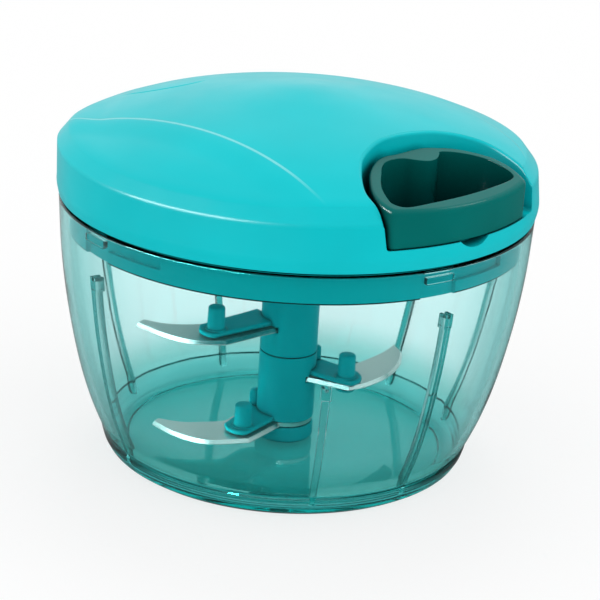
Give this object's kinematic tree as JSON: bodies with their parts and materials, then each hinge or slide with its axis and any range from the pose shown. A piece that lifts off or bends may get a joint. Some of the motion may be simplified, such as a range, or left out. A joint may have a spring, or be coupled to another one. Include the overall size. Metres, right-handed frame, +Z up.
{
  "type": "pull cord food chopper",
  "caption": "Hand pull-cord food chopper: clear round bowl, stacked curved blades on a central hub, domed lid with a recessed ring handle on a cord reel.",
  "frame": {"origin": "centre of the foot, on the surface that the bowl stands on", "axes": "+Z up along the hub, -Y towards the viewer, the pull handle lies 44 degrees from -Y towards +X"},
  "size_m": [0.122, 0.122, 0.0962],
  "materials": {
    "clear_bowl": "clear polished, tinted teal",
    "hub_plastic": "smooth moulded",
    "blade_steel": "fine ground, bright cutting bevel",
    "plain_steel": "plain",
    "white_plastic": "moulded",
    "lid_plastic": "satin moulded",
    "base_plastic": "smooth moulded",
    "bush_brass": "turned",
    "handle_plastic": "smooth moulded",
    "cord_fibre": "braided"
  },
  "bodies": {
    "bowl_body": {"bowl": "clear_bowl", "pivot_pin": "plain_steel"},
    "blade_unit": {"hub_foot": "hub_plastic", "hub_lower": "hub_plastic", "hub_upper": "hub_plastic", "hub_core": "plain_steel", "hub_bush": "white_plastic", "blade_lower": "blade_steel", "blade_middle": "blade_steel", "blade_upper": "blade_steel"},
    "lid": {"lid_cover": "lid_plastic", "lid_base": "base_plastic", "drive_bush": "bush_brass", "reel_axle": "plain_steel", "cord_guide": "handle_plastic", "cord_lead": "cord_fibre", "lid_screw_1": "plain_steel", "lid_screw_2": "plain_steel", "lid_screw_3": "plain_steel"},
    "reel": {"cord_reel": "white_plastic", "reel_cap": "white_plastic", "recoil_spring": "plain_steel", "cord_winding": "cord_fibre", "drive_spindle": "white_plastic"},
    "handle": {"pull_handle": "handle_plastic", "pull_cord": "cord_fibre", "cord_knot": "cord_fibre"}
  },
  "joints": [
    {"name": "lid_lift", "type": "slide", "parent": "bowl_body", "child": "lid", "axis": [0, 0, 1], "range_m": [0, 0.07]},
    {"name": "handle_pull", "type": "slide", "parent": "lid", "child": "handle", "axis": [0.6947, -0.7193, 0], "range_m": [0, 0.3], "stiffness_N_per_m": 12, "springref_m": -0.2},
    {"name": "reel_spin", "type": "hinge", "parent": "lid", "child": "reel", "pos_m": [0, 0, 0.079], "axis": [0, 0, 1], "range_deg": [-990, 0]},
    {"name": "blade_spin", "type": "hinge", "parent": "bowl_body", "child": "blade_unit", "pos_m": [0, 0, 0.03], "axis": [0, 0, 1], "range_deg": [-990, 0]}
  ],
  "couplings": [
    {"joint": "reel_spin", "follows": "handle_pull", "rad_per_m": -57.5},
    {"joint": "blade_spin", "follows": "handle_pull", "rad_per_m": -57.5}
  ]
}
